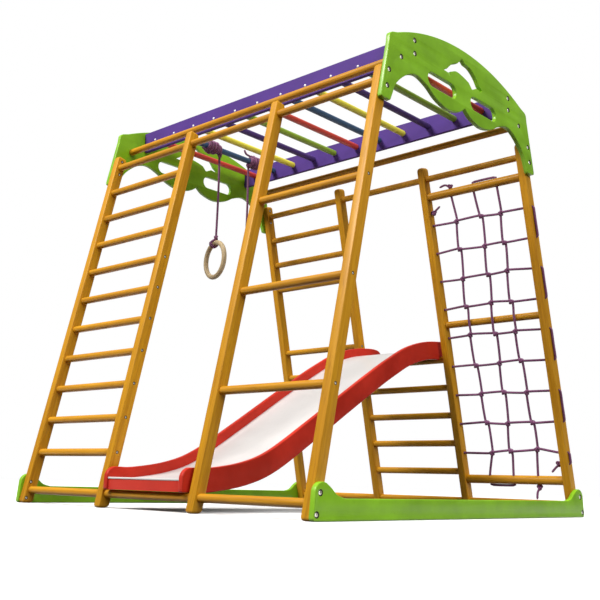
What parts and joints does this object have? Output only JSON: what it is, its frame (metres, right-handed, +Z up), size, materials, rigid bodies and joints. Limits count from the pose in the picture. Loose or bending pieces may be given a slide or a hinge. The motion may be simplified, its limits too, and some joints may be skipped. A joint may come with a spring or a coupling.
{
  "type": "indoor climbing frame with slide",
  "caption": "Wooden indoor climbing frame for small children: leaning ladder walls under monkey bars, with a hook-on slide, a rope climbing net, hanging rings and arched end plates.",
  "frame": {"origin": "on the floor, under the middle of the frame's bounding box", "axes": "+Z up; X along the frame, with the narrow ladder at -X and the climbing net at +X; -Y is the front, where the slide's foot comes out"},
  "size_m": [1.5, 1.644, 1.7],
  "materials": {
    "wood": "honey-orange stained and varnished",
    "green": "green painted plywood",
    "purple": "purple painted plywood",
    "red": "red painted wood",
    "blue": "blue painted wood",
    "yellow": "yellow painted wood",
    "white": "white faced smooth board",
    "rope": "twisted plum-coloured rope",
    "ring": "bare sanded wood"
  },
  "bodies": {
    "frame": {"front_low_rail": "wood", "front_top_rail": "wood", "back_low_rail": "wood", "back_top_rail": "wood", "narrow_ladder_rung_01": "wood", "narrow_ladder_rung_02": "wood", "narrow_ladder_rung_03": "wood", "narrow_ladder_rung_04": "wood", "narrow_ladder_rung_05": "wood", "narrow_ladder_rung_06": "wood", "narrow_ladder_rung_07": "wood", "narrow_ladder_rung_08": "wood", "narrow_ladder_rung_09": "wood", "narrow_ladder_rung_10": "wood", "wide_ladder_rung_1": "wood", "wide_ladder_rung_2": "wood", "wide_ladder_rung_3": "wood", "net_upper_rung": "wood", "net_middle_rung": "wood", "net_lower_rung": "wood", "front_post_1": "wood", "front_post_2": "wood", "front_post_3": "wood", "front_post_4": "wood", "back_post_1": "wood", "back_post_2_and_rungs": "wood", "back_post_3": "wood", "back_post_4": "wood", "climbing_net": "rope", "left_end_plate": "green", "right_end_plate": "green", "left_floor_bar": "green", "right_floor_bar": "green", "front_side_board": "purple", "back_side_board": "purple", "front_long_rod": "wood", "back_long_rod": "wood", "monkey_bar_01_red": "red", "monkey_bar_02_blue": "blue", "monkey_bar_03_yellow": "yellow", "monkey_bar_04_purple": "purple", "monkey_bar_05_green": "green", "monkey_bar_06_red": "red", "monkey_bar_07_blue": "blue", "monkey_bar_08_yellow": "yellow", "monkey_bar_09_purple": "purple", "monkey_bar_10_green": "green", "monkey_bar_11_red": "red"},
    "slide": {"slide_left_rail": "red", "slide_right_rail": "red", "slide_bed": "white", "slide_foot_bar": "red", "slide_hook_batten": "wood"},
    "ring_rope_1": {"ring_rope_1": "rope", "ring_hitch_1": "rope"},
    "ring_rope_2": {"ring_rope_2": "rope", "ring_hitch_2": "rope"},
    "ring_1": {"ring_1": "ring"},
    "ring_2": {"ring_2": "ring"}
  },
  "joints": [
    {"name": "slide_lift", "type": "hinge", "parent": "frame", "child": "slide", "pos_m": [0, 0.6543, 0.644], "axis": [-1, 0, 0], "range_deg": [0, 25]},
    {"name": "ring_rope_1_swing", "type": "hinge", "parent": "frame", "child": "ring_rope_1", "pos_m": [-0.528, -0.052, 1.592], "axis": [0, 1, 0], "range_deg": [-40, 40]},
    {"name": "ring_1_tilt", "type": "hinge", "parent": "ring_rope_1", "child": "ring_1", "pos_m": [-0.528, -0.052, 1.147], "axis": [0.9781, -0.2079, 0], "range_deg": [-25, 25]},
    {"name": "ring_rope_2_swing", "type": "hinge", "parent": "frame", "child": "ring_rope_2", "pos_m": [-0.528, 0.137, 1.592], "axis": [0, 1, 0], "range_deg": [-40, 40]},
    {"name": "ring_2_tilt", "type": "hinge", "parent": "ring_rope_2", "child": "ring_2", "pos_m": [-0.528, 0.137, 1.147], "axis": [0.7431, -0.6691, 0], "range_deg": [-25, 25]}
  ]
}
